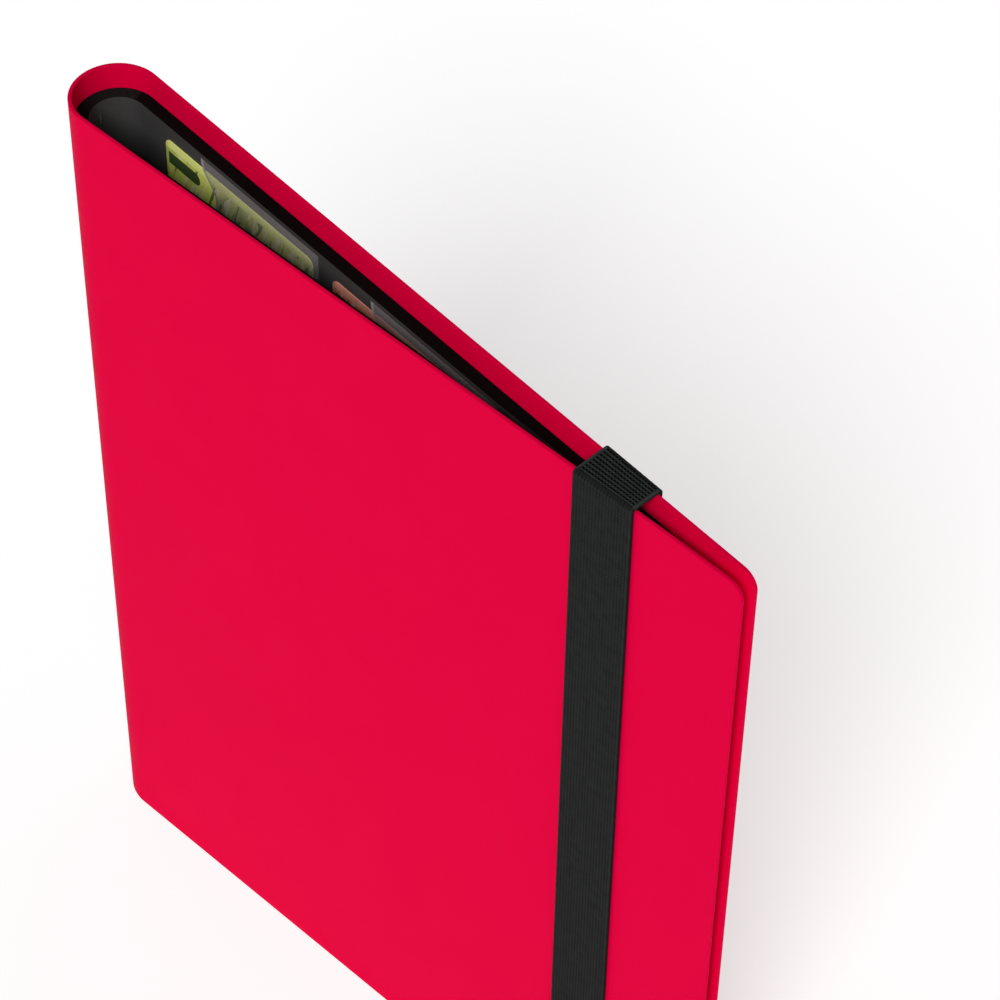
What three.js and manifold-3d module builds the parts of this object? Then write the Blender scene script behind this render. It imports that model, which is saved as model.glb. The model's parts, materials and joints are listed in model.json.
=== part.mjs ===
// Nine-pocket trading card binder: flexible cover, folded pocket leaves, elastic strap.
// Millimetres, +Z up. It stands on its lower edges, spine at -X, front cover facing -Y.
import * as THREE from "three";
import { mergeVertices } from "three/addons/utils/BufferGeometryUtils.js";
import Module from "manifold-3d";

const wasm = await Module();
wasm.setup();

// Cover
const COVER_W = 249.8; // spine to fore-edge
const COVER_H = 302;
const COVER_T = 1.2; // sheet
const SPINE_R = 13.2; // outer radius of the U
const TAPER = THREE.MathUtils.degToRad(2.53); // each cover leans in to the fore-edge
const FLARE_X0 = 90; // past the strap the front cover leans in less
const FLARE_X1 = 110;
const FLARE_R = 1125;
const CORNER_R = 5;
const SEGMENTS = 5; // hinged lengths of the spine
const SEG_GAP = 0.06;

// Leaves: ten to each side, folded round the spine
const LEAVES = 10;
const LEAF_T = 0.075;
const LEAF_PITCH = 0.38; // in the folds and along the back half
const FRONT_PITCH = 0.575; // the front half lies looser
const EDGE_PITCH = 0.105; // where the strap squeezes them
const FOLD_D = COVER_T + 0.2; // depth of the first leaf
const EDGE_D = COVER_T + 0.1;
const BEND_X = 37; // from here the back half narrows to the edge
const FRONT_OPEN_X = -95; // the front half widens up to here
const FRONT_BEND_X = 12; // and narrows from here
const LEAF_X1 = 115;
const LEAF_H = 286.3;

// Pockets and cards
const CARD_W = 63;
const CARD_H = 88;
const CARD_T = 0.3;
const CARD_R = 2.5;
const CARD_X0 = -101;
const CARD_PITCH_X = 71;
const CARD_TOP = 4.75; // below the top of the leaf
const CARD_PITCH_Z = (LEAF_H - CARD_H) / 2 - CARD_TOP;
const FILM_T = 0.07;
const MOUTH = 22; // how far the film leaves the spine side of each card bare

// Strap
const STRAP_X0 = 69.7;
const STRAP_W = 20;
const STRAP_T = 1;
const STRAP_GAP = 0.2;
const ANCHOR_H = 32;
const BASE_Z = STRAP_GAP + STRAP_T; // it passes under the covers

const colours = { red: 0xe00040, black: 0x151515, film: 0x777777, strap: 0x242424 };
const root = new THREE.Group();

// The outer outline as a path: s is length from the middle of the spine, towards the back
// cover, and d is the depth below the outer surface.
const ARC = SPINE_R * (Math.PI / 2 + TAPER);
const CX = -COVER_W / 2 + SPINE_R;
function at(s, d, side = 1) {
  if (s <= ARC) {
    const a = Math.PI - s / SPINE_R;
    return [CX + (SPINE_R - d) * Math.cos(a), side * (SPINE_R - d) * Math.sin(a)];
  }
  const [x, y] = at(ARC, d);
  const [along, out] = side < 0 ? flare(s, d) : [0, 0];
  const run = s - ARC + along;
  const [cos, sin] = [Math.cos(TAPER), Math.sin(TAPER)];
  return [x + run * cos + out * sin, side * (y - run * sin + out * cos)];
}
const sOf = (x, d) => ARC + (x - at(ARC, d)[0]) / Math.cos(TAPER);
const [FLARE_S0, FLARE_S1] = [sOf(FLARE_X0, 0), sOf(FLARE_X1, 0)];

// How far the front half's curve moves a point from the straight taper, along it and outward.
function flare(s, d) {
  const turn = Math.min(Math.max(s - FLARE_S0, 0), FLARE_S1 - FLARE_S0) / FLARE_R;
  const [cos, sin, rest] = [Math.cos(turn), Math.sin(turn), Math.max(s - FLARE_S1, 0)];
  const along = (FLARE_R + d) * sin + rest * cos - Math.max(s - FLARE_S0, 0);
  return [along, (FLARE_R + d) * (1 - cos) + rest * sin];
}

// A closed prism of a plan outline between two heights.
function prism(points, z0, z1) {
  const shape = new THREE.Shape(points.map(([x, y]) => new THREE.Vector2(x, y)));
  const g = new THREE.ExtrudeGeometry(shape, { depth: z1 - z0, bevelEnabled: false });
  return g.translate(0, 0, z0);
}

// A strip that follows the path between the depths d0(s) and d1(s).
function strip(stops, d0, d1, z0, z1, side = 1) {
  const near = stops.map((s) => at(s, d0(s), side));
  const far = stops.map((s) => at(s, d1(s), side)).reverse();
  return prism([...near, ...far], z0, z1);
}

const range = (a, b, n) => Array.from({ length: n + 1 }, (_, i) => a + ((b - a) * i) / n);

function solid(geometry) {
  const g = geometry.clone();
  g.deleteAttribute("normal");
  g.deleteAttribute("uv");
  const m = mergeVertices(g, 1e-4);
  const mesh = { numProp: 3, vertProperties: m.attributes.position.array };
  return new wasm.Manifold(new wasm.Mesh({ ...mesh, triVerts: new Uint32Array(m.index.array) }));
}

function geometryOf(manifold) {
  const m = manifold.getMesh();
  const g = new THREE.BufferGeometry();
  g.setAttribute("position", new THREE.BufferAttribute(new Float32Array(m.vertProperties), 3));
  g.setIndex(new THREE.BufferAttribute(new Uint32Array(m.triVerts), 1));
  g.computeVertexNormals();
  return g;
}

// A plate in X and Z between y0 and y1, with round corners at x1 and, if both, at x0.
function tablet(x0, x1, z0, z1, y0, y1, r, both = true) {
  const s = new THREE.Shape();
  const q = both ? r : 0;
  s.moveTo(x0 + q, z0);
  s.lineTo(x1 - r, z0);
  s.absarc(x1 - r, z0 + r, r, -Math.PI / 2, 0);
  s.absarc(x1 - r, z1 - r, r, 0, Math.PI / 2);
  s.lineTo(x0 + q, z1);
  if (both) s.absarc(x0 + r, z1 - r, r, Math.PI / 2, Math.PI);
  if (both) s.absarc(x0 + r, z0 + r, r, Math.PI, 1.5 * Math.PI);
  const g = new THREE.ExtrudeGeometry(s, { depth: y1 - y0, bevelEnabled: false, curveSegments: 6 });
  return g.rotateX(Math.PI / 2).translate(0, y1, 0);
}

const rounded = (g, x1, z0, z1, r) =>
  geometryOf(solid(g).intersect(solid(tablet(-150, x1, z0, z1, -30, 30, r, false))));

function add(name, geometry, colour) {
  const material = new THREE.MeshStandardMaterial({ color: colours[colour] });
  const mesh = new THREE.Mesh(geometry, material);
  mesh.name = name;
  root.add(mesh);
}

const flat = (d) => () => d;
const number = (n) => String(n).padStart(2, "0");
const COVER_Z1 = BASE_Z + COVER_H;
const LEAF_Z0 = BASE_Z + (COVER_H - LEAF_H) / 2;
const LEAF_Z1 = LEAF_Z0 + LEAF_H;
const S_EDGE = sOf(COVER_W / 2, 0);

const flareStops = (side) => (side < 0 ? range(FLARE_S0, FLARE_S1, 4) : []);

// Covers: one flexible sheet, parted at the spine's hinge lines
for (const [name, side] of [["cover_back", 1], ["cover_front", -1]]) {
  const stops = [ARC + SEG_GAP / 2, ...flareStops(side), S_EDGE];
  const sheet = strip(stops, flat(0), flat(COVER_T), BASE_Z, COVER_Z1, side);
  add(name, rounded(sheet, COVER_W / 2, BASE_Z, COVER_Z1, CORNER_R), "red");
}

// Spine, from the back cover round to the front cover, with the folds of the leaves inside it
function arc(n, d0, d1, z0, z1, gap) {
  const half = ARC / SEGMENTS;
  const middle = ARC - (2 * n - 1) * half;
  const wedge = [];
  for (const d of [d0, d1]) {
    const trim = gap / 2 / (SPINE_R - d);
    const a0 = Math.PI - (middle + half) / SPINE_R + trim;
    const a1 = Math.PI - (middle - half) / SPINE_R - trim;
    const row = range(a0, a1, 8).map((a) => {
      const r = SPINE_R - d;
      return [CX + r * Math.cos(a), r * Math.sin(a)];
    });
    wedge.push(...(d === d0 ? row : row.reverse()));
  }
  return prism(wedge, z0, z1);
}
const FOLD_D1 = FOLD_D + LEAVES * LEAF_PITCH - 0.1;
for (let n = 1; n <= SEGMENTS; n++) {
  add(`spine_${n}`, arc(n, 0, COVER_T, BASE_Z, COVER_Z1, SEG_GAP), "red");
  add(`fold_${n}`, arc(n, FOLD_D, FOLD_D1, LEAF_Z0, LEAF_Z1, 0.12), "black");
}

// The stitched seam down the middle of the folds
const seamX = at(0, FOLD_D1 + 0.05)[0];
add("seam_thread", tablet(seamX, seamX + 0.7, LEAF_Z0 + 3, LEAF_Z1 - 3, -0.5, 0.5, 0.3), "black");

// Leaves: leaf_01 to leaf_10 follow the front cover, leaf_11 to leaf_20 the back one
const S_LEAF = ARC + 0.4;
const S_LAST = sOf(LEAF_X1, 2);
// Where each half's spacing is set, along the path, by side
const spacing = {
  1: [[S_LEAF, LEAF_PITCH], [sOf(BEND_X, 3), LEAF_PITCH]],
  [-1]: [[S_LEAF, LEAF_PITCH], ...[FRONT_OPEN_X, FRONT_BEND_X].map((x) => [sOf(x, 3), FRONT_PITCH])],
};
function depth(k, side) {
  const knots = spacing[side].map(([s, pitch]) => [s, FOLD_D + (k - 0.5) * pitch]);
  knots.push([S_LAST, EDGE_D + (k - 0.5) * EDGE_PITCH]);
  return (s) => {
    const i = Math.max(1, knots.findIndex(([end], n) => s <= end || n === knots.length - 1));
    const [[s0, d0], [s1, d1]] = [knots[i - 1], knots[i]];
    return d0 + ((d1 - d0) * Math.max(0, s - s0)) / (s1 - s0);
  };
}
const layer = (base, offset) => (s) => base(s) + offset;
function stopsOf(side, s0, s1) {
  const knots = [...spacing[side].map(([s]) => s), ...flareStops(side)];
  return [s0, ...knots.filter((s) => s > s0), s1];
}
for (const side of [-1, 1]) {
  for (let k = 1; k <= LEAVES; k++) {
    const d = depth(k, side);
    const args = [stopsOf(side, S_LEAF, S_LAST), layer(d, -LEAF_T / 2), layer(d, LEAF_T / 2)];
    const sheet = strip(...args, LEAF_Z0, LEAF_Z1, side);
    const name = `leaf_${number(side < 0 ? k : 2 * LEAVES + 1 - k)}`;
    add(name, rounded(sheet, LEAF_X1, LEAF_Z0, LEAF_Z1, 4), "black");
  }
}

// Clear pocket sheets on the two leaves that face each other, open on the spine side of each card
const rows = [0, 1, 2].map((r) => LEAF_Z1 - CARD_TOP - CARD_H - r * CARD_PITCH_Z);
for (const [name, side, lift] of [["film_front", -1, 0.03], ["film_back", 1, CARD_T + 0.07]]) {
  const d0 = LEAF_T / 2 + lift;
  const span = [LEAF_Z0 + 2, LEAF_Z1 - 2];
  const inner = depth(LEAVES, side);
  const stops = stopsOf(side, sOf(CARD_X0 - 4.5, 4), S_LAST - 1);
  const sheet = strip(stops, layer(inner, d0), layer(inner, d0 + FILM_T), ...span, side);
  let film = solid(rounded(sheet, LEAF_X1 - 2, ...span, 3));
  for (let c = 0; c < 3; c++) {
    for (const z of rows) {
      const x = CARD_X0 + c * CARD_PITCH_X - 2.6;
      const slit = tablet(x, x + 2.6 + MOUTH, z + 1, z + CARD_H - 1, -14, 14, 3);
      film = film.subtract(solid(slit));
    }
  }
  add(name, geometryOf(film), "film");
}

// Cards behind the film of the back half
const page = depth(LEAVES, 1);
for (let c = 0; c < 3; c++) {
  rows.forEach((z, r) => {
    const ends = [0, CARD_W].map((w) => sOf(CARD_X0 + c * CARD_PITCH_X + w, 5));
    const [p, q] = ends.map((s) => at(s, page(s) + LEAF_T / 2 + 0.03));
    const turn = Math.atan2(q[1] - p[1], q[0] - p[0]);
    const card = tablet(0, CARD_W, 0, CARD_H, -CARD_T, 0, CARD_R).rotateZ(turn);
    add(`card_${r * 3 + c + 1}`, card.translate(p[0], p[1], z), "film");
  });
}

// Strap: a run down the front, a bridge over each end, and two tabs welded to the back cover
const S0 = sOf(STRAP_X0, 0);
const S1 = S0 + STRAP_W;
const out = [flat(-STRAP_GAP), flat(-STRAP_GAP - STRAP_T)];
const TOP = COVER_Z1 + STRAP_GAP;
const bottom = BASE_Z - STRAP_GAP;
add("strap_run", strip([S0, S1], ...out, bottom + 0.05, TOP - 0.05, -1), "strap");
add("strap_tab_top", strip([S0, S1], ...out, COVER_Z1 - ANCHOR_H, TOP - 0.05), "strap");
add("strap_tab_bottom", strip([S0, S1], ...out, bottom + 0.05, BASE_Z + ANCHOR_H), "strap");
const ends = [S0, S1].map((s) => [at(s, out[1]()), at(s, out[1](), -1)]);
const outline = [ends[0][0], ends[0][1], ends[1][1], ends[1][0]];
add("strap_bridge_top", prism(outline, TOP, TOP + STRAP_T), "strap");
add("strap_bridge_bottom", prism(outline, bottom - STRAP_T, bottom), "strap");

export default root;
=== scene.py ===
"""Nine-pocket trading card binder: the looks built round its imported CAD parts."""

import colorsys
import json
import math

import bmesh
import bpy
import numpy as np
from mathutils import Matrix, Vector

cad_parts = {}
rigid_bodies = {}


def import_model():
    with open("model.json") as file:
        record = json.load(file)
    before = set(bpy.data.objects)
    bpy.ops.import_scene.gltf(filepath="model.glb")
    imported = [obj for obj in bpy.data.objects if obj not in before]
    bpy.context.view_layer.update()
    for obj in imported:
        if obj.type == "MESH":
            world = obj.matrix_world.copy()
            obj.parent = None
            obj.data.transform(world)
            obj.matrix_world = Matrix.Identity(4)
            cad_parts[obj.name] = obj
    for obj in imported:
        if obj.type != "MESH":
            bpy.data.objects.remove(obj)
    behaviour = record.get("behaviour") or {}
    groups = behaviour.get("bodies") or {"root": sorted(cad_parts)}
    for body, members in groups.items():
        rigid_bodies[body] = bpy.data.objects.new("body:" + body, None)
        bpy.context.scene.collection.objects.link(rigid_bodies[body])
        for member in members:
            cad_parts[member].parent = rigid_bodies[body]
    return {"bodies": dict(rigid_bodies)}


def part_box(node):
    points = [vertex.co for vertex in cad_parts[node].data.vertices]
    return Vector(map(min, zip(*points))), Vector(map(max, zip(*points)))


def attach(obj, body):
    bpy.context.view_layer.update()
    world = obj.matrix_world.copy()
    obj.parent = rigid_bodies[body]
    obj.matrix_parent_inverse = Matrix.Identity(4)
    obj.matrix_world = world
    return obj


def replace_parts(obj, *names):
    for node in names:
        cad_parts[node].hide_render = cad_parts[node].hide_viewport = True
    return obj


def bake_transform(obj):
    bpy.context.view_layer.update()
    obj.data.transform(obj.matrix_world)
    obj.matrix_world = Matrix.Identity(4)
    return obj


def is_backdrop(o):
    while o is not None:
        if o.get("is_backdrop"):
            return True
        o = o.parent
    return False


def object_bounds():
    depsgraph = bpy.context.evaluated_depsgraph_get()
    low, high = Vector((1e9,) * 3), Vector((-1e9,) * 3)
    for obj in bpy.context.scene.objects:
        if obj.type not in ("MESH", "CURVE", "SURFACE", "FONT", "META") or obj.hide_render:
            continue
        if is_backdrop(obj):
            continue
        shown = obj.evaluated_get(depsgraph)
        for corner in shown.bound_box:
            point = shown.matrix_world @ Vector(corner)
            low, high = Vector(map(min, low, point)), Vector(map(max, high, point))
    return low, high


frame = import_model()
cad_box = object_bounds()

MM = 0.001  # the sizes below are in millimetres, as in the CAD


def box(node):
    low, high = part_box(node)
    return np.array(low) / MM, np.array(high) / MM


# Cover: one bent sheet
COVER_T = 1.2
EDGE_ROUND = 0.3
SPINE_R = 13.2
TAPER = math.radians(2.53)
FLARE_X = (90.0, 110.0)  # from here to here the front cover curves out a little, past the strap
FLARE_R = 1125.0
CORNER_R = 5.0
PANEL_START = 8.0  # the flat panels begin this far past the bend
LEFT = box("spine_3")[0][0]
(_, _, COVER_Z0), (EDGE_X, _, COVER_Z1) = box("cover_front")

# Leaves
LEAVES = 10  # on each side
LEAF_T, LEAF_EDGE_T = 0.31, 0.085  # along the loose part, and where the strap squeezes them
LEAF_PITCH, FRONT_PITCH, EDGE_PITCH = 0.38, 0.575, 0.105
FOLD_D, EDGE_D = COVER_T + 0.2, COVER_T + 0.1  # the stack begins this deep at the fold and the edge
BEND_X = 37.0  # from here the back half narrows to the edge
FRONT_OPEN_X, FRONT_BEND_X = -95.0, 12.0  # where the front half has widened, and narrows
LEAF_CORNER = 4.0
LEAF_BLEND = (-2.0, 6.0)  # a stretch of a leaf from where it leaves the fold; its end points are worked out below but not used
SKIN_REACH, FOLD_REACH = 0.8, 0.6  # points this far round each hinge, in shares of ARC / SPINES, on the cover and the folds; worked out but not used
(_, _, LEAF_Z0), (LEAF_X1, _, LEAF_Z1) = box("leaf_01")

# Pockets and cards
CARD_W, CARD_H, CARD_T, CARD_R = 63.0, 88.0, 0.3, 2.5
CARD_PITCH_X = 71.0
CARD_X0, _, CARD_Z0 = box("card_1")[0]
CARD_PITCH_Z = CARD_Z0 - box("card_4")[0][2]
CARD_GAP = 0.02  # between a card and its leaf
FILM_T = 0.07
MOUTH = 22.0  # how far the film leaves the spine side of each card bare
FILM_LIFT = {1: CARD_T + 0.07, -1: 0.03}  # over the cards at the back, and over empty pockets

# Strap
STRAP_W, STRAP_T, STRAP_GAP = 20.0, 1.0, 0.2
STRAP_X0 = 69.7
TAB_H = 32.0
TACK_IN, TACK_H, TACK_PITCH = 3, 15, 2.5  # the sewn box: its inset, height and stitch pitch
SELVEDGE = 1.0  # no gaps in the weave this near the strap's sides
ROW_PITCH, CORD_PITCH = 1.25, 1.05
ROW_SWELL = 0.14  # how much each woven row thickens and thins the strap

CX = LEFT + SPINE_R
ARC = SPINE_R * (math.pi / 2 + TAPER)
SPINES = sum(name.startswith("spine_") for name in frame["bodies"])
CHAIN = ["cover_back", *[f"spine_{n + 1}" for n in range(SPINES)], "cover_front"]
HINGES = [ARC * (1 - 2 * i / SPINES) for i in range(SPINES + 1)]
CUTS = [ARC * (1 - (2 * i + 1) / SPINES) for i in range(SPINES)]
FLARE_S = [ARC + (x - CX - SPINE_R * math.sin(TAPER)) / math.cos(TAPER) for x in FLARE_X]


def at(s, d=0.0):
    """Plan points at length s from the middle of the spine and depth d below the outer surface,
    with the outward normals and the directions of growing s. s is + towards the back cover."""
    s, d = np.broadcast_arrays(np.asarray(s, float), np.asarray(d, float))
    a = np.minimum(np.abs(s), ARC) / SPINE_R
    side = np.where(s < 0, -1.0, 1.0)
    n = np.stack([-np.cos(a), side * np.sin(a)], -1)
    t = np.stack([side * np.sin(a), np.cos(a)], -1)
    run = side * np.maximum(np.abs(s) - ARC, 0)
    p = np.array([CX, 0]) + (SPINE_R - d)[..., None] * n + run[..., None] * t
    past = np.maximum(-s - FLARE_S[0], 0)
    turn = np.minimum(past, FLARE_S[1] - FLARE_S[0]) / FLARE_R
    rest = np.maximum(-s - FLARE_S[1], 0)
    cos, sin = np.cos(turn)[..., None], np.sin(turn)[..., None]
    along = (FLARE_R + d)[..., None] * sin + rest[..., None] * cos - past[..., None]
    out = (FLARE_R + d)[..., None] * (1 - cos) + rest[..., None] * sin
    return p + out * n - along * t, n * cos + t * sin, t * cos - n * sin


def s_of(x, d=0.0):
    """The s on the back half where the path at depth d reaches x."""
    return ARC + (x - at(ARC, d)[0][0]) / math.cos(TAPER)


def spot(s, d=0.0, z=0.0):
    """A point in the row frame, in metres."""
    x, y = at(s, d)[0]
    return Vector((x, y, z)) * MM


# ---------------------------------------------------------------- meshes


def build(name, points, faces, material, uvs, sharp=40):
    """A closed piece from points in millimetres, its faces turned outward."""
    piece, mesh = new_piece(name, points, faces, [material], uvs)
    form = bmesh.new()
    form.from_mesh(mesh)
    bmesh.ops.recalc_face_normals(form, faces=form.faces)
    form.to_mesh(mesh)
    form.free()
    mesh.set_sharp_from_angle(angle=math.radians(sharp))
    return piece


def new_piece(name, points, faces, materials, uvs):
    mesh = bpy.data.meshes.new(name)
    mesh.from_pydata(np.asarray(points, float) * MM, [], [tuple(map(int, f)) for f in faces])
    for material in materials:
        mesh.materials.append(material)
    uv = mesh.uv_layers.new(name="surface")
    uv.data.foreach_set("uv", np.asarray(uvs, float)[corners(mesh)].ravel())
    mesh.shade_smooth()
    piece = bpy.data.objects.new(name, mesh)
    bpy.context.scene.collection.objects.link(piece)
    return piece, mesh


def corners(mesh):
    """The point of each face corner."""
    found = np.empty(len(mesh.loops), np.int32)
    mesh.loops.foreach_get("vertex_index", found)
    return found


def edge_steps(r, steps=3):
    """A rounded edge from the outer to the inner face: inset, side it is measured from, depth, normal."""
    rows = []
    for half in (0, 1):
        for i in range(steps + 1):
            f = math.pi / 2 * (half + i / steps)
            depth = r * (1 - math.cos(f)) if half == 0 else -r * (1 + math.cos(f))
            rows.append((r * (1 - math.sin(f)), half, depth, math.sin(f), math.cos(f)))
    return rows


class Sheet:
    """A sheet that follows the path along the stations, from depth top(s) and thick(s) through, with
    its edges rounded by r. With a corner radius, its far end, at s = end, is a free edge. Its faces
    are the outer and inner ones in turn."""

    def __init__(self, stations, z0, z1, top, thick, r, corner=0.0, end=None, steps=3):
        stations = np.asarray(stations, float)
        grow = np.sign((stations[-1] if end is None else end) - stations[0])
        a = np.linspace(0, math.pi / 2, 9) if corner else np.zeros(0)
        points, normals, uvs = [], [], []
        rows = edge_steps(r, steps)
        for inset, half, depth, outward, facing in rows:
            turn = corner - inset
            s = np.concatenate([stations, (end or 0) - grow * (corner - turn * np.sin(a))])
            dz = np.concatenate([np.full(len(stations), inset), corner - turn * np.cos(a)])
            away_s = np.concatenate([np.zeros(len(stations)), grow * np.sin(a)])
            away_z = np.concatenate([-np.ones(len(stations)), -np.cos(a)])
            plan, n, t = at(s, top(s) + half * thick(s) + depth)
            level = facing * n + outward * away_s[:, None] * t
            for low in (1, -1):
                z = z0 + dz if low > 0 else z1 - dz
                points.append(np.column_stack([plan, z])[::low])
                normals.append(np.column_stack([level, low * outward * away_z])[::low])
                uvs.append(np.column_stack([s, z])[::low] * MM)
        self.points, self.normals, self.uvs = (np.concatenate(v) for v in (points, normals, uvs))
        count, h = len(rows), len(s)
        v = lambda row, i: row * 2 * h + i
        self.faces, self.rims = [], []
        for i in range(h - 1):
            ring = (i, i + 1, 2 * h - 2 - i, 2 * h - 1 - i)
            self.faces.append([v(0, j) for j in ring])
            self.faces.append([v(count - 1, j) for j in ring][::-1])
        for i in range(2 * h - 1):
            if i != h - 1 or corner:
                for row in range(count - 1):
                    self.rims.append([v(row, i), v(row + 1, i), v(row + 1, i + 1), v(row, i + 1)])
        down = range(count)
        self.ends = [[v(q, 0) for q in down][::-1] + [v(q, 2 * h - 1) for q in down]]
        if not corner:
            self.ends.append([v(q, h - 1) for q in down] + [v(q, h) for q in down][::-1])
        if grow > 0:
            for group in (self.faces, self.rims, self.ends):
                group[:] = [f[::-1] for f in group]

    def join(self, other):
        base = len(self.points)
        for group in ("faces", "rims", "ends"):
            getattr(self, group).extend([i + base for i in f] for f in getattr(other, group))
        for group in ("points", "normals", "uvs"):
            setattr(self, group, np.concatenate([getattr(self, group), getattr(other, group)]))
        return self

    def piece(self, name, slot, material, rim_material=None, inner_material=None):
        faces = [*self.faces, *self.rims, *self.ends]
        look = [material, rim_material or material, inner_material or material]
        piece, mesh = new_piece(name, self.points, faces, look, self.uvs)
        wanted = self.normals[corners(mesh)]
        for i, face in enumerate(mesh.polygons):
            if i < len(self.faces):
                face.material_index = 2 * (i % 2)
            elif i < len(self.faces) + len(self.rims):
                face.material_index = 1
            if i >= len(self.faces) + len(self.rims):
                wanted[list(face.loop_indices)] = face.normal
        mesh.normals_split_custom_set(wanted)
        return piece


def constant(value):
    return lambda s: np.full(np.shape(s), float(value))


# ---------------------------------------------------------------- materials


class Nodes:
    """A material with its Principled shader and short ways to add nodes."""

    def __init__(self, name, colour=(0.8, 0.8, 0.8), roughness=0.5, **values):
        self.material = bpy.data.materials.new(name)
        self.material.use_nodes = True
        self.tree = self.material.node_tree
        self.shader = self.tree.nodes["Principled BSDF"]
        self.set("Base Color", (*colour, 1))
        self.set("Roughness", roughness)
        for key, value in values.items():
            self.set(key.replace("_", " "), value)

    def set(self, socket, value):
        self.shader.inputs[socket].default_value = value

    def add(self, kind, inputs=(), **settings):
        node = self.tree.nodes.new("ShaderNode" + kind)
        for key, value in settings.items():
            setattr(node, key, value)
        for key, value in dict(inputs).items():
            self.feed(node.inputs[key], value)
        return node

    def feed(self, socket, value):
        if isinstance(value, bpy.types.NodeSocket):
            self.tree.links.new(value, socket)
        else:
            socket.default_value = value

    def math(self, operation, a, b=0.0, clamp=False):
        node = self.add("Math", {0: a, 1: b}, operation=operation, use_clamp=clamp)
        return node.outputs[0]

    def uv(self, scale=(1, 1, 1)):
        found = self.add("UVMap", uv_map="surface")
        mapping = self.add("Mapping", {"Vector": found.outputs["UV"], "Scale": scale})
        return mapping.outputs["Vector"]

    def noise(self, scale, detail=2.0, stretch=(1, 1, 1), **inputs):
        settings = {"Vector": self.uv(stretch), "Scale": scale, "Detail": detail}
        return self.add("TexNoise", {**settings, **inputs}).outputs["Fac"]

    def steps(self, value, *stops, interpolation="LINEAR"):
        """A colour ramp with (position, colour) stops."""
        ramp = self.add("ValToRGB", {"Fac": value})
        ramp.color_ramp.interpolation = interpolation
        elements = ramp.color_ramp.elements
        while len(elements) < len(stops):
            elements.new(0.5)
        for element, (position, colour) in zip(elements, stops):
            element.position = position
            element.color = (*colour, 1) if len(colour) == 3 else colour
        return ramp.outputs["Color"]

    def mix(self, factor, a, b):
        node = self.add("Mix", data_type="RGBA")
        for socket, value in ((0, factor), (6, a), (7, b)):
            if not isinstance(value, bpy.types.NodeSocket) and socket:
                value = (*value, 1)
            self.feed(node.inputs[socket], value)
        return node.outputs[2]

    def remap(self, value, low, high, to_low, to_high):
        inputs = {"Value": value, "From Min": low, "From Max": high, "To Min": to_low, "To Max": to_high}
        return self.add("MapRange", inputs).outputs["Result"]

    def link(self, socket, value):
        self.tree.links.new(value, self.shader.inputs[socket])

    def bump(self, height, distance, strength=1.0, below=None):
        inputs = {"Height": height, "Distance": distance, "Strength": strength}
        if below is not None:
            inputs["Normal"] = below
        found = self.add("Bump", inputs).outputs["Normal"]
        self.link("Normal", found)
        return found


def red_plastic(name, red, blue):
    """Matt cover plastic: a very fine grain, and hardly any gloss."""
    m = Nodes(name, (red, 0.0, blue), 0.42, Specular_IOR_Level=0.004)
    cloud = m.noise(14, 4)
    tones = [(stop, (red * f, 0.0, blue * f)) for stop, f in ((0.3, 0.99), (0.7, 1.01))]
    m.link("Base Color", m.steps(cloud, *tones))
    grain = m.noise(2600, 3)
    m.link("Roughness", m.remap(m.noise(60, 3), 0.3, 0.7, 0.42, 0.5))
    m.bump(grain, 0.00002, 0.35)
    return m.material


def page_plastic(name, shade, specular):
    """Black leaf: a fine grain and a faint cloudiness."""
    m = Nodes(name, (shade,) * 3, 0.5, Specular_IOR_Level=specular)
    cloud = m.noise(30, 4, (1, 0.35, 1))
    tones = [(stop, tuple(shade * f for f in tint)) for stop, tint in
             ((0.3, (0.85, 0.85, 0.87)), (0.7, (1.2, 1.18, 1.15)))]
    m.link("Base Color", m.steps(cloud, *tones))
    m.link("Roughness", m.remap(m.noise(160, 3), 0.3, 0.7, 0.42, 0.58))
    m.bump(m.noise(1500, 3), 0.00003, 0.4)
    return m.material


RED = red_plastic("red_cover", 0.725, 0.046)
# The inner faces of the cover, on the panels and the spine skins alike, take a lighter copy of the same
# red: painted light in the shaded inside of the binder.
RED_INNER_PAINTED_LIGHT = red_plastic("red_cover_inner_painted_light", 0.89, 0.055)
PAGE = page_plastic("black_page", 0.06, 0.25)
# A near-black copy of black_page: painted shade, for the leaves' edges and for the faces of the leaves
# inside the stack, where shade falls between the leaves.
PAGE_PAINTED_SHADE = page_plastic("black_page_painted_shade", 0.003, 0.05)  # also for the leaves inside the stack


# ---------------------------------------------------------------- cover

S_EDGE = s_of(EDGE_X)
COVER = (COVER_Z0, COVER_Z1, constant(0), constant(COVER_T), EDGE_ROUND)
for side, body in ((1, "cover_back"), (-1, "cover_front")):
    stations = side * np.linspace(ARC + PANEL_START, S_EDGE - CORNER_R, 40)[:-1]
    panel = Sheet(stations, *COVER, CORNER_R, side * S_EDGE)
    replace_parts(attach(panel.piece(f"panel_{body[6:]}", "cover_red", RED, RED, RED_INNER_PAINTED_LIGHT), body), body)

bounds = [ARC + PANEL_START, *CUTS, -ARC - PANEL_START]
for i, hinge in enumerate(HINGES):
    stations = np.linspace(bounds[i], bounds[i + 1], 13)
    skin = Sheet(stations, *COVER).piece(f"spine_skin_{i + 1}", "cover_red", RED, RED, RED_INNER_PAINTED_LIGHT)
    reach = SKIN_REACH * ARC / SPINES
    spot(hinge + reach)
    spot(hinge - reach)
    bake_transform(skin)
    if i < SPINES:
        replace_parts(skin, f"spine_{i + 1}")

# ---------------------------------------------------------------- leaves

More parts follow.
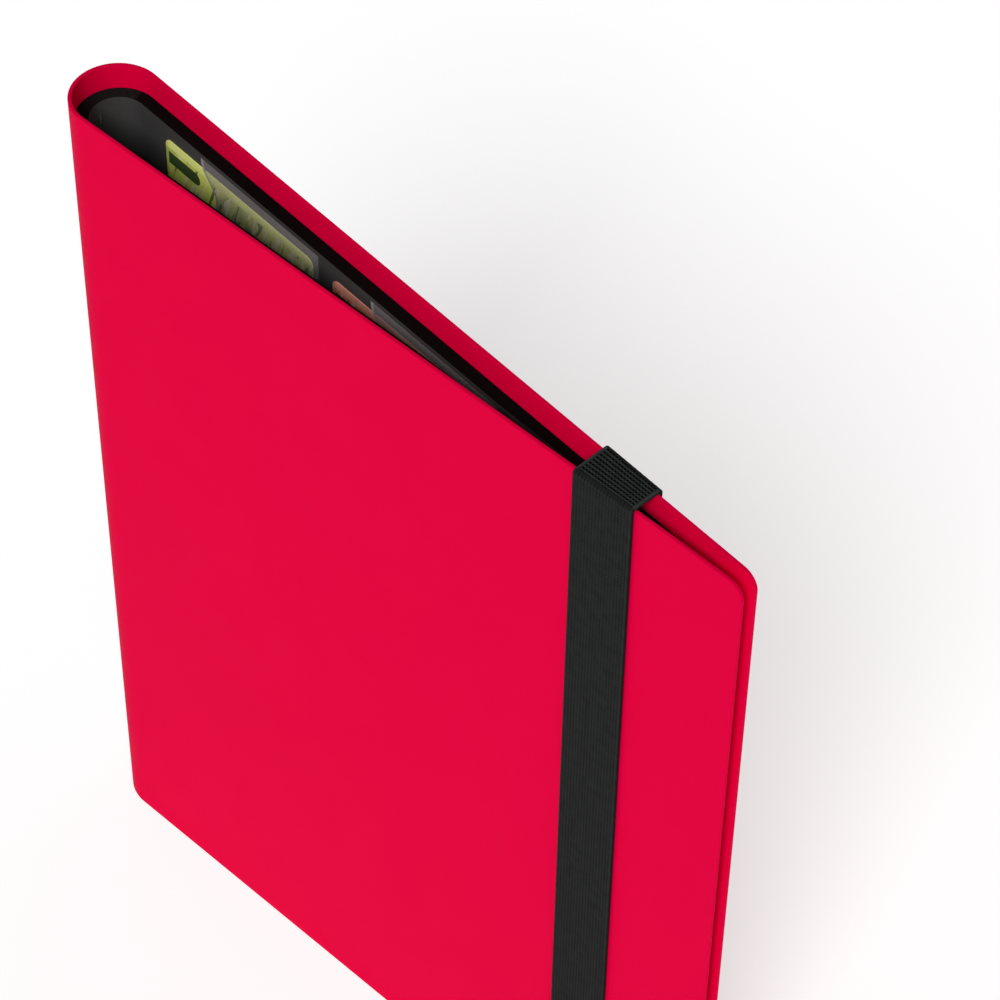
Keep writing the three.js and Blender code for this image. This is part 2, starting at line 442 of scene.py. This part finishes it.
S_LEAF = ARC + 0.4
S_BEND = s_of(BEND_X, 3)
S_LAST = s_of(LEAF_X1, 2)
SPACING = {
    1: [(0, LEAF_PITCH), (S_BEND, LEAF_PITCH)],
    -1: [(0, LEAF_PITCH), (S_LEAF, LEAF_PITCH)]
    + [(s_of(x, 3), FRONT_PITCH) for x in (FRONT_OPEN_X, FRONT_BEND_X)],
}


def leaf_middle(k, side):
    """Depth of the middle of leaf k, counted from the cover inwards."""
    knots = [(s, FOLD_D + (k - 0.5) * pitch) for s, pitch in SPACING[side]]
    knots.append((S_LAST, EDGE_D + (k - 0.5) * EDGE_PITCH))
    return lambda s: np.interp(np.abs(s), *zip(*knots))


def leaf_thick(s):
    t = np.clip((np.abs(s) - S_BEND) / (S_LAST - S_BEND), 0, 1)
    return LEAF_T + (LEAF_EDGE_T - LEAF_T) * t


def leaf_shape(k, side):
    middle = leaf_middle(k, side)
    return LEAF_Z0, LEAF_Z1, lambda s: middle(s) - leaf_thick(s) / 2, leaf_thick, LEAF_EDGE_T / 2


for i in range(SPINES - 1):
    stations = np.linspace(CUTS[i], CUTS[i + 1], 11)
    folds = [Sheet(stations, *leaf_shape(k, 1), steps=1) for k in range(1, LEAVES + 1)]
    for other in folds[1:]:
        folds[0].join(other)
    # The folds' faces are black_page, and their edges take the near-black copy: painted shade between the
    # folds.
    fold = folds[0].piece(f"folds_{i + 1}", "page_black", PAGE, PAGE_PAINTED_SHADE)
    middle, reach = FOLD_D + LEAVES * LEAF_PITCH / 2, FOLD_REACH * ARC / SPINES
    ends = [spot(HINGES[i + 1] + q * reach, middle) for q in (1, -1)]
    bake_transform(fold)
    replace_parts(fold, *[f"fold_{n}" for n in ((1, 2) if i == 0 else (i + 2,))])

for side, root in ((-1, CHAIN[-2]), (1, CHAIN[1])):
    for k in range(1, LEAVES + 1):
        body = f"leaf_{k if side < 0 else 2 * LEAVES + 1 - k:02d}"
        turn = np.linspace(CUTS[0], ARC + PANEL_START, 10)
        flat_part = np.linspace(ARC + PANEL_START, S_LAST - LEAF_CORNER, 26)[1:-1]
        knots = [s for s, _ in SPACING[side][1:]]
        stations = side * np.unique(np.concatenate([turn, flat_part, knots]))
        leaf = Sheet(stations, *leaf_shape(k, side), LEAF_CORNER, side * S_LAST, steps=1)
        # Only the innermost leaf shows black_page on its faces. The others take the near-black copy:
        # painted shade inside the stack.
        face = PAGE if k == LEAVES else PAGE_PAINTED_SHADE
        leaf = leaf.piece(f"page_{body[5:]}", "page_black", face, PAGE_PAINTED_SHADE)
        depth = FOLD_D + (k - 0.5) * LEAF_PITCH
        ends = [spot(side * (S_LEAF + q), depth) for q in LEAF_BLEND]
        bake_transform(leaf)
        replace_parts(leaf, body)


# ---------------------------------------------------------------- pockets and cards


def grid(columns, rows, place, wrap=False):
    """Points and quads of a grid, place(i, j) giving each point."""
    points = [place(i, j) for i in range(columns) for j in range(rows)]
    faces = []
    for i in range(columns - 1):
        for j in range(rows if wrap else rows - 1):
            k = (j + 1) % rows
            faces.append((i * rows + j, (i + 1) * rows + j, (i + 1) * rows + k, i * rows + k))
    return points, faces


def card_s(column, across=0.0):
    return s_of(CARD_X0 + column * CARD_PITCH_X + across, 5)


def card_z(row):
    return CARD_Z0 - row * CARD_PITCH_Z


def smooth(x):
    x = np.clip(x, 0, 1)
    return x * x * (3 - 2 * x)


WELD_X, WELD_Z = 2.0, 3.2  # the weld runs this far outside the card
WELD_RISE = 3.2  # the film reaches its full height this far inside the weld
MOUTH_FLARE, MOUTH_FLARE_H = 6.5, 11.0  # towards its ends the mouth curves back to the spine
FILM_GAP = 0.05  # under the film at the weld
FILM_STEPS = (26, 30)


def pocket(column, row, side, face, lift):
    """Outer points of one pocket's film: welded on three sides, its mouth a shallow curve."""
    low, high = card_z(row) - WELD_Z, card_z(row) + CARD_H + WELD_Z
    right = card_s(column, CARD_W + WELD_X)
    points, uvs = [], []
    for j in range(FILM_STEPS[1] + 1):
        v = j / FILM_STEPS[1]
        z = low + (high - low) * (v - 0.09 * math.sin(2 * math.pi * v) / 1.2)
        end = min(z - low, high - z)
        left = card_s(column, MOUTH - MOUTH_FLARE * (1 - smooth(end / MOUTH_FLARE_H)))
        for i in range(FILM_STEPS[0] + 1):
            u = i / FILM_STEPS[0]
            s = left + (right - left) * (u - 0.07 * math.sin(2 * math.pi * u))
            rise = smooth((right - s) / WELD_RISE) * smooth(end / WELD_RISE)
            curl = 0.12 * math.exp(-(s - left) / 1.6) * smooth(end / 4)
            wave = 0.035 * math.sin(s * 0.21 + column) * math.sin(z * 0.13 + row) * rise
            height = FILM_GAP + lift * rise + curl * rise + wave
            points.append((side * s, face(s) + height, z))
            uvs.append((side * s * MM, z * MM))
    return np.array(points), np.array(uvs)


def films(side):
    """All nine pockets of one leaf, as thin closed sheets, and which faces edge the mouths."""
    middle = leaf_middle(LEAVES, side)
    face = lambda s: middle(s) + leaf_thick(s) / 2
    points, faces, uvs, mouths = [], [], [], []
    wide, high = FILM_STEPS[0] + 1, FILM_STEPS[1] + 1
    for column in range(3):
        for row in range(3):
            skin, uv = pocket(column, row, side, face, FILM_LIFT[side] * 0.98)
            base = len(points)
            for under in (0, FILM_T):
                plan = at(skin[:, 0], skin[:, 1] + FILM_T - under)[0]
                points += [(x, y, z) for (x, y), z in zip(plan, skin[:, 2])]
                uvs += list(uv)
            near, far = base, base + wide * high
            v = lambda origin, i, j: origin + j * wide + i
            found = []
            for j in range(high - 1):
                for i in range(wide - 1):
                    quad = ((i, j), (i + 1, j), (i + 1, j + 1), (i, j + 1))
                    if i == 0:
                        mouths += [len(faces) + len(found), len(faces) + len(found) + 1]
                    found.append([v(near, *q) for q in quad])
                    found.append([v(far, *q) for q in quad][::-1])
            rim = [(i, 0) for i in range(wide)] + [(wide - 1, j) for j in range(1, high)]
            rim += [(i, high - 1) for i in range(wide - 2, -1, -1)]
            rim += [(0, j) for j in range(high - 2, 0, -1)]
            for a, b in zip(rim, rim[1:] + rim[:1]):
                found.append([v(near, *b), v(near, *a), v(far, *a), v(far, *b)])
            faces += found if side > 0 else [f[::-1] for f in found]
    return points, faces, uvs, mouths


def film_plastic(name, alpha):
    """Clear film laid over what is under it as a warm grey layer from alpha up: partly the film's own
    haze, partly painted sheen standing in for its reflections. More of it where the film is seen edge on.
    """
    m = Nodes(name, (0.50, 0.47, 0.47), 0.2, Specular_IOR_Level=0.5)
    haze_and_sheen = m.remap(m.noise(45, 2, (1, 0.4, 1)), 0.35, 0.7, alpha, alpha * 1.5)
    # more alpha where the film is seen edge on: painted sheen
    edge = m.add("LayerWeight", {"Blend": 0.35}).outputs["Facing"]
    m.link("Alpha", m.math("ADD", haze_and_sheen, m.math("MULTIPLY", edge, 0.2), clamp=True))
    m.bump(m.noise(60, 1, (1, 0.5, 1)), 0.0003, 0.2)
    return m.material


FILM = film_plastic("pocket_film", 0.11)
# The film along each mouth, with alpha 0.4: a painted highlight line along the mouth, partly the cut
# edge's own greater opacity.
FILM_MOUTH_HIGHLIGHT = film_plastic("pocket_film_mouth_highlight", 0.4)
for side, body, node in ((1, "leaf_11", "film_back"), (-1, "leaf_10", "film_front")):
    points, faces, uvs, mouths = films(side)
    film = build(f"pockets_{node[5:]}", points, faces, FILM, uvs=uvs)
    # The faces along each mouth take the more opaque film: a painted highlight.
    film.data.materials.append(FILM_MOUTH_HIGHLIGHT)
    for i in mouths:
        film.data.polygons[i].material_index = 1
    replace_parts(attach(film, body), node)


# The cards' printing, in millimetres from the lower left. A pair is for across and up.
LABEL_TOP, LABEL_R, LABEL_START, LABEL_END = 4.0, 2.3, 1.2, 15.0
STRIP_FADE = (CARD_H - 3.2, CARD_H - 2.4)  # the light strip along the top starts here
BLOB_CENTRE, BLOB_SIZE = (CARD_W / 2, 55.0), (17.0, 14.0)
PANEL_CENTRE, PANEL_HALF = (CARD_W / 2, 19.0), (27.5, 13.5)
HUES = [0.19, 0.03, 0.58, 0.77, 0.11, 0.48, 0.30, 0.07, 0.90]


def card_print(number, hue):
    """A made-up card: brush strokes round a dark shape, a plain panel below them, a light strip
    along the top, and under it a plain dark label with a round end."""
    tone = lambda shift, strength, value: colorsys.hsv_to_rgb((hue + shift) % 1, strength, value)
    dark, middle = tone(0.08, 0.68, 0.09), tone(0.03, 0.76, 0.40)
    bright, pale = tone(0.0, 0.80, 0.95), tone(-0.04, 0.36, 1.0)
    m = Nodes(f"card_print_{number}", middle, 0.38, Coat_Weight=0.25, Coat_Roughness=0.2)
    place = m.add("SeparateXYZ", {"Vector": m.uv()})
    x, y = place.outputs["X"], place.outputs["Y"]

    def strokes(across, up, **values):
        shift = (number * 13.1, number * 7.7, 0)
        where = {"Vector": m.uv(), "Rotation": (0, 0, 0.35), "Location": shift}
        turned = m.add("Mapping", where).outputs["Vector"]
        shifted = m.add("Mapping", {"Vector": turned, "Scale": (across, up, 1)}).outputs["Vector"]
        return m.add("TexNoise", {"Vector": shifted, "Scale": 1.0, **values}).outputs["Fac"]

    wide = strokes(0.07, 0.05, Detail=3, Distortion=0.8)
    thin = strokes(0.32, 0.05, Detail=2, Distortion=1.1)
    fine = strokes(0.9, 0.5, Detail=5)
    height = m.remap(y, 30, CARD_H - 4, -0.12, 0.14)
    art = m.steps(m.math("ADD", wide, height), (0.34, dark), (0.48, middle), (0.64, bright))
    art = m.mix(m.remap(fine, 0.5, 0.8, 0, 0.4), art, middle)
    art = m.mix(m.remap(thin, 0.58, 0.61, 0, 0.9), art, pale)
    art = m.mix(m.remap(thin, 0.43, 0.39, 0, 0.85), art, dark)
    away = []
    for v, centre, size in zip((x, y), BLOB_CENTRE, BLOB_SIZE):
        away.append(m.math("POWER", m.math("DIVIDE", m.math("SUBTRACT", v, centre), size), 2.0))
    blob = m.math("ADD", m.math("SQRT", m.math("ADD", *away)), m.math("MULTIPLY", wide, 1.2))
    art = m.mix(m.remap(blob, 1.6, 1.35, 0, 0.8), art, dark)
    inside = []
    for v, centre, half in zip((x, y), PANEL_CENTRE, PANEL_HALF):
        off = m.math("ABSOLUTE", m.math("SUBTRACT", v, centre))
        inside.append(m.remap(off, half, half - 0.3, 0, 1))
    panel = m.mix(m.remap(fine, 0.3, 0.7, 0.1, 0.35), pale, bright)
    art = m.mix(m.math("MULTIPLY", *inside), art, panel)

    over = m.math("SUBTRACT", y, CARD_H - LABEL_TOP - LABEL_R)
    past = m.math("MAXIMUM", m.math("SUBTRACT", x, LABEL_END - LABEL_R), 0.0)
    reach = m.math("SQRT", m.math("ADD", m.math("POWER", past, 2.0), m.math("POWER", over, 2.0)))
    within = m.remap(reach, LABEL_R, LABEL_R - 0.25, 0, 1)
    label = m.math("MULTIPLY", m.math("GREATER_THAN", x, LABEL_START), within)
    strip = m.mix(m.remap(fine, 0.3, 0.7, 0, 0.4), bright, pale)
    colour = m.mix(m.remap(y, *STRIP_FADE, 0, 1), art, strip)
    colour = m.mix(label, colour, dark)
    m.link("Base Color", colour)
    m.bump(m.noise(1.5, 2), 0.00002, 0.3)
    return m.material


def card(number):
    """A thin tablet with round corners, leaning as its CAD node does, with UVs in millimetres."""
    row, column = divmod(number - 1, 3)
    r, rim = CARD_R, CARD_T * 0.3
    inner = leaf_middle(LEAVES, 1)
    sides = card_s(column), card_s(column, CARD_W)
    ends = [at(s, inner(s) + leaf_thick(s) / 2 + CARD_GAP)[0] for s in sides]
    along = (ends[1] - ends[0]) / np.linalg.norm(ends[1] - ends[0])
    out = np.array([along[1], -along[0]])
    points, uvs, faces = [], [], []
    layers = [(inset, half * CARD_T + depth) for inset, half, depth, _, _ in edge_steps(rim, 2)]
    centres = (CARD_W - r, r), (CARD_W - r, CARD_H - r), (r, CARD_H - r), (r, r)
    for inset, depth in layers:
        for turn, (cx, cz) in enumerate(centres):
            for step in range(7):
                a = math.radians(90 * turn - 90 + 15 * step)
                u, v = cx + (r - inset) * math.cos(a), cz + (r - inset) * math.sin(a)
                plan = ends[0] + along * u + out * (CARD_T - depth)
                points.append((*plan, card_z(row) + v))
                uvs.append((u, v))
    n = len(points) // len(layers)
    for layer in range(len(layers) - 1):
        for i in range(n):
            j = (i + 1) % n
            faces.append([layer * n + i, (layer + 1) * n + i, (layer + 1) * n + j, layer * n + j])
    faces.append(list(range(n)))
    faces.append([(len(layers) - 1) * n + i for i in range(n)][::-1])
    look = card_print(number, HUES[number - 1])
    thing = build(f"trading_card_{number}", points, faces, look, uvs=uvs, sharp=50)
    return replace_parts(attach(thing, "leaf_11"), f"card_{number}")


for number in range(1, 10):
    card(number)

# ---------------------------------------------------------------- seam


def stitch(start, end, width, rise, out):
    """Points and faces of one stitch: a thread lying from start to end, bowed along out."""
    start, end, out = (np.array(v, float) for v in (start, end, out))
    along = (end - start) / np.linalg.norm(end - start)
    side = np.cross(along, out)
    rings, sides = 7, 8

    def place(i, j):
        f, a = i / (rings - 1), 2 * math.pi * j / sides
        girth = width / 2 * max(0.15, math.sin(math.pi * (0.08 + 0.84 * f)) ** 0.5)
        centre = start + (end - start) * f + out * rise * math.sin(math.pi * f)
        return centre + girth * (math.cos(a) * side + math.sin(a) * out)

    points, faces = grid(rings, sides, place, wrap=True)
    near, far = range(sides), range((rings - 1) * sides, rings * sides)
    return points, [*faces, tuple(near)[::-1], tuple(far)]


def stitches(name, lines, material, width, rise):
    """One piece holding a stitch for each (start, end, out)."""
    points, faces = [], []
    for start, end, out in lines:
        p, f = stitch(start, end, width, rise, out)
        faces += [[i + len(points) for i in face] for face in f]
        points += [tuple(q) for q in p]
    uvs = [(p[2] * MM, (p[0] + p[1]) * MM) for p in points]
    return build(name, points, faces, material, uvs=uvs, sharp=80)


def thread_look():
    m = Nodes("black_thread", (0.02, 0.02, 0.02), 0.75, Sheen_Weight=0.3, Sheen_Roughness=0.5)
    twist = m.add("TexWave", {"Vector": m.uv(), "Scale": 1400, "Distortion": 1}).outputs["Fac"]
    m.link("Base Color", m.steps(twist, (0, (0.012, 0.012, 0.012)), (1, (0.04, 0.04, 0.04))))
    m.bump(twist, 0.0001, 0.5)
    return m.material


THREAD = thread_look()
SEAM_PITCH, SEAM_LENGTH = 6.0, 4.6
fold_inside = FOLD_D + LEAVES * LEAF_PITCH - 0.06
seam_x = at(0, fold_inside)[0][0]
seam_ends = box("seam_thread")[0][2], box("seam_thread")[1][2]
count = int((seam_ends[1] - seam_ends[0]) // SEAM_PITCH)
lines = []
for i in range(count):
    z = seam_ends[0] + (seam_ends[1] - seam_ends[0]) * (i + 0.5) / count
    low, high = z - SEAM_LENGTH / 2, z + SEAM_LENGTH / 2
    lines.append(((seam_x, 0, low), (seam_x, 0, high), (1, 0, 0)))
seam = stitches("seam_stitches", lines, THREAD, width=0.5, rise=0.22)
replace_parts(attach(seam, f"spine_{(SPINES + 1) // 2}"), "seam_thread")

# ---------------------------------------------------------------- strap

STRAP_S = s_of(STRAP_X0)
STRAP_IN = STRAP_GAP + STRAP_T / 2  # its middle is this far off the cover
ROUND_ANGLES = [math.pi / 2 * i / 7 for i in range(1, 8)]

# The strap is swept through stations (side, off, z, lean, lift): side is -1 on the front cover, 1 on
# the back and between them across the gap, off is the distance from the cover, and lean and lift
# are the parts of its outward direction that point away from the cover and up.


def bend(side, end):
    """Round a cover's upper (end 1) or lower (end -1) edge, from its face."""
    z = COVER_Z1 if end > 0 else COVER_Z0
    for a in ROUND_ANGLES:
        lean, lift = math.cos(a), end * math.sin(a)
        yield side, STRAP_IN * lean, z + STRAP_IN * lift, lean, lift


def straight(side, z0, z1):
    """Up or down a cover's face."""
    count = round(abs(z1 - z0) / (ROW_PITCH / 3))
    for z in np.linspace(z0, z1, count + 1):
        yield side, STRAP_IN, z, 1.0, 0.0


def bridge(end):
    """Over the gap, from the front cover to the back one."""
    z = (COVER_Z1 if end > 0 else COVER_Z0) + end * STRAP_IN
    for side in np.linspace(-1, 1, 31):
        yield side, 0.0, z, 0.0, float(end)


def strap_loop(ribs=10):
    """The strap's section, points (across, outward): ribbed faces and rounded selvedges."""
    half, edge = STRAP_T / 2, STRAP_T * 0.42
    steps = range(ribs * 2 + 1)
    wide = (STRAP_W - 2 * edge) / (ribs * 2)
    face = [(edge + wide * i, half * (1 - 0.07 * (i % 2))) for i in steps]
    arc = [(math.sin(a), math.cos(a)) for a in np.linspace(0, math.pi, 7)[1:-1]]
    far = [(STRAP_W - edge + edge * x, half * y) for x, y in arc]
    near = [(edge - edge * x, -half * y) for x, y in arc]
    return [*face, *far, *[(w, -t) for w, t in face[::-1]], *near]


LOOP = strap_loop()


def strap_part(name, stations, material, *nodes):
    """Sweeps the section, swelling and narrowing with each woven row."""
    points, uvs, length, last = [], [], 0.0, None
    across = np.array([w for w, _ in LOOP])
    for side, off, z, lean, lift in stations:
        plan, n, _ = at((-1 if side < 0 else 1) * (STRAP_S + across), -off)
        plan = plan * [1, abs(side)]
        here = np.array([plan[0][1], z])
        length += 0 if last is None else np.linalg.norm(here - last)
        last = here
        row = 1 + ROW_SWELL * (abs(math.sin(math.pi * length / ROW_PITCH)) - 0.5)
        for (w, t), q, m in zip(LOOP, plan, n):
            points.append((*(q + m * lean * t * row), z + lift * t * row))
            uvs.append((w * MM, length * MM))
    size = len(LOOP)
    _, faces = grid(len(points) // size, size, lambda i, j: 0, wrap=True)
    faces += [tuple(range(size))[::-1], tuple(range(len(points) - size, len(points)))]
    part = build(name, points, faces, material, uvs=uvs, sharp=60)
    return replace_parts(part, *nodes)


def elastic(name, open_weave, shade):
    """Woven elastic: rows across the strap, each a row of short dark gaps between the cords. The
    gaps show by open_weave, and shade scales the tones."""
    m = Nodes(name, (0.019, 0.019, 0.019), 0.85, Specular_IOR_Level=0.06)
    place = m.add("SeparateXYZ", {"Vector": m.uv((1000, 1000, 1))})
    w, u = place.outputs["X"], place.outputs["Y"]
    row = m.math("PINGPONG", m.math("DIVIDE", u, ROW_PITCH), 0.5)
    cord = m.math("PINGPONG", m.math("DIVIDE", w, CORD_PITCH), 0.5)
    gap = m.math("MULTIPLY", m.remap(row, 0.34, 0.22, 0, 1), m.remap(cord, 0.06, 0.15, 0, 1))
    off_middle = m.math("ABSOLUTE", m.math("SUBTRACT", w, STRAP_W / 2))
    between_selvedges = m.math("LESS_THAN", off_middle, STRAP_W / 2 - SELVEDGE)
    gap = m.math("MULTIPLY", m.math("MULTIPLY", gap, between_selvedges), open_weave)
    worn = m.math("MULTIPLY", m.noise(300, 3), 0.5)
    # Each cord is lighter towards its middle and darker towards the gaps beside it: painted highlight on
    # the cords' ridges and painted shade at the gaps.
    tone = m.math("ADD", worn, m.math("MULTIPLY", cord, 0.8))
    tones = [(stop, tuple(shade * f for f in tint)) for stop, tint in
             ((0.2, (0.009, 0.010, 0.010)), (0.6, (0.024, 0.026, 0.025)))]
    body = m.steps(tone, *tones)
    m.link("Base Color", m.mix(gap, body, (0.001, 0.001, 0.001)))
    height = m.math("SUBTRACT", m.math("SINE", m.math("MULTIPLY", cord, math.pi)), gap)
    m.bump(height, 0.0002, 0.6)
    return m.material


ELASTIC = elastic("woven_elastic", 0.3, 0.85)
# Over the top and bottom edges the weave is open where it bends. Its tones are raised 1.8 times there,
# against 0.85 on the run: painted light on the bridges.
ELASTIC_OVER_LIT = elastic("woven_elastic_bent_painted_light", 1.0, 1.8)


run = [*list(bend(-1, -1))[::-1], *straight(-1, COVER_Z0, COVER_Z1), *bend(-1, 1)]
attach(strap_part("strap_front", run, ELASTIC, "strap_run"), "strap")
for end, name in ((1, "top"), (-1, "bottom")):
    edge = COVER_Z1 if end > 0 else COVER_Z0
    tab = [*straight(1, edge - end * TAB_H, edge), *bend(1, end)]
    part = strap_part(f"strap_tab_{name}_end", tab, ELASTIC, f"strap_tab_{name}")
    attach(part, "cover_back")
    part = strap_part(f"strap_over_{name}", bridge(end), ELASTIC_OVER_LIT, f"strap_bridge_{name}")
    middle = STRAP_S + STRAP_W / 2
    [spot(q * middle, 0, edge) for q in (1, -1)]
    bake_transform(part)

    # The tab is sewn to the cover in a crossed box
    tack = -STRAP_GAP - STRAP_T * 0.97
    corner = lambda w, h: np.array([*at(STRAP_S + w, tack)[0], edge - end * h])
    left, right, near, far = TACK_IN, STRAP_W - TACK_IN, TAB_H - TACK_IN - TACK_H, TAB_H - TACK_IN
    runs = [((left, near), (right, near)), ((left, far), (right, far)), ((left, near), (left, far))]
    runs += [((right, near), (right, far)), ((left, near), (right, far)), ((left, far), (right, near))]
    lines = []
    out = (*at(STRAP_S)[1], 0)
    for a, b in runs:
        a, b = corner(*a), corner(*b)
        count = round(np.linalg.norm(b - a) / TACK_PITCH)
        for i in range(count):
            p, q = (a + (b - a) * (i + f) / count for f in (0.12, 0.88))
            lines.append((p, q, out))
    sewn = stitches(f"strap_stitches_{name}", lines, THREAD, width=0.4, rise=0.08)
    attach(sewn, "cover_back")

# ---------------------------------------------------------------- camera, light and floor


def camera(azimuth, elevation, roll, place, focal):
    """A camera at place, in metres, looking along the bearing. focal is in image widths."""
    a, e, r = (math.radians(v) for v in (azimuth, elevation, roll))
    back = Vector((math.sin(a) * math.cos(e), -math.cos(a) * math.cos(e), math.sin(e)))
    right = Vector((math.cos(a), math.sin(a), 0))
    up = back.cross(right)
    x = math.cos(r) * right + math.sin(r) * up
    y = -math.sin(r) * right + math.cos(r) * up
    data = bpy.data.cameras.new("camera")
    data.sensor_width = 36
    data.lens = 36 * focal
    data.clip_start, data.clip_end = 0.01, 40
    thing = bpy.data.objects.new("camera", data)
    bpy.context.scene.collection.objects.link(thing)
    thing.matrix_world = Matrix.Translation(place) @ Matrix((x, y, back)).transposed().to_4x4()
    bpy.context.scene.camera = thing


camera(azimuth=45.34, elevation=48.40, roll=1.14, place=(0.50497, -0.46108, 1.00118), focal=3.81741)


def sun(name, direction, strength, spread):
    """Soft light from far away, shining from the direction. spread is its width in degrees."""
    data = bpy.data.lights.new(name, "SUN")
    data.energy, data.angle = strength, math.radians(spread)
    thing = bpy.data.objects.new(name, data)
    bpy.context.scene.collection.objects.link(thing)
    thing.rotation_euler = Vector(direction).to_track_quat("Z", "Y").to_euler()


sun("key", direction=(0.36, -0.62, 0.69), strength=2.05, spread=20)

world = bpy.data.worlds.new("world")
world.use_nodes = True
world.node_tree.nodes["Background"].inputs["Color"].default_value = (1, 1, 1, 1)
world.node_tree.nodes["Background"].inputs["Strength"].default_value = 0.25
bpy.context.scene.world = world
bpy.context.scene.view_settings.view_transform = "Standard"

floor_look = Nodes("floor", (0.62, 0.62, 0.62), 0.8, Specular_IOR_Level=0.1)
floor_look.set("Emission Color", (1, 1, 1, 1))
floor_look.set("Emission Strength", 0.57)
floor = bpy.data.meshes.new("floor")
FLOOR = 14.0  # metres from its middle to each side
signs = ((-1, -1), (1, -1), (1, 1), (-1, 1))
floor.from_pydata([(x * FLOOR, y * FLOOR, 0) for x, y in signs], [], [(0, 1, 2, 3)])
floor.materials.append(floor_look.material)
floor = bpy.data.objects.new("floor", floor)
bpy.context.scene.collection.objects.link(floor)
floor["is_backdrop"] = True

visual_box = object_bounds()
{"cad": [list(v) for v in cad_box], "visual": [list(v) for v in visual_box]}
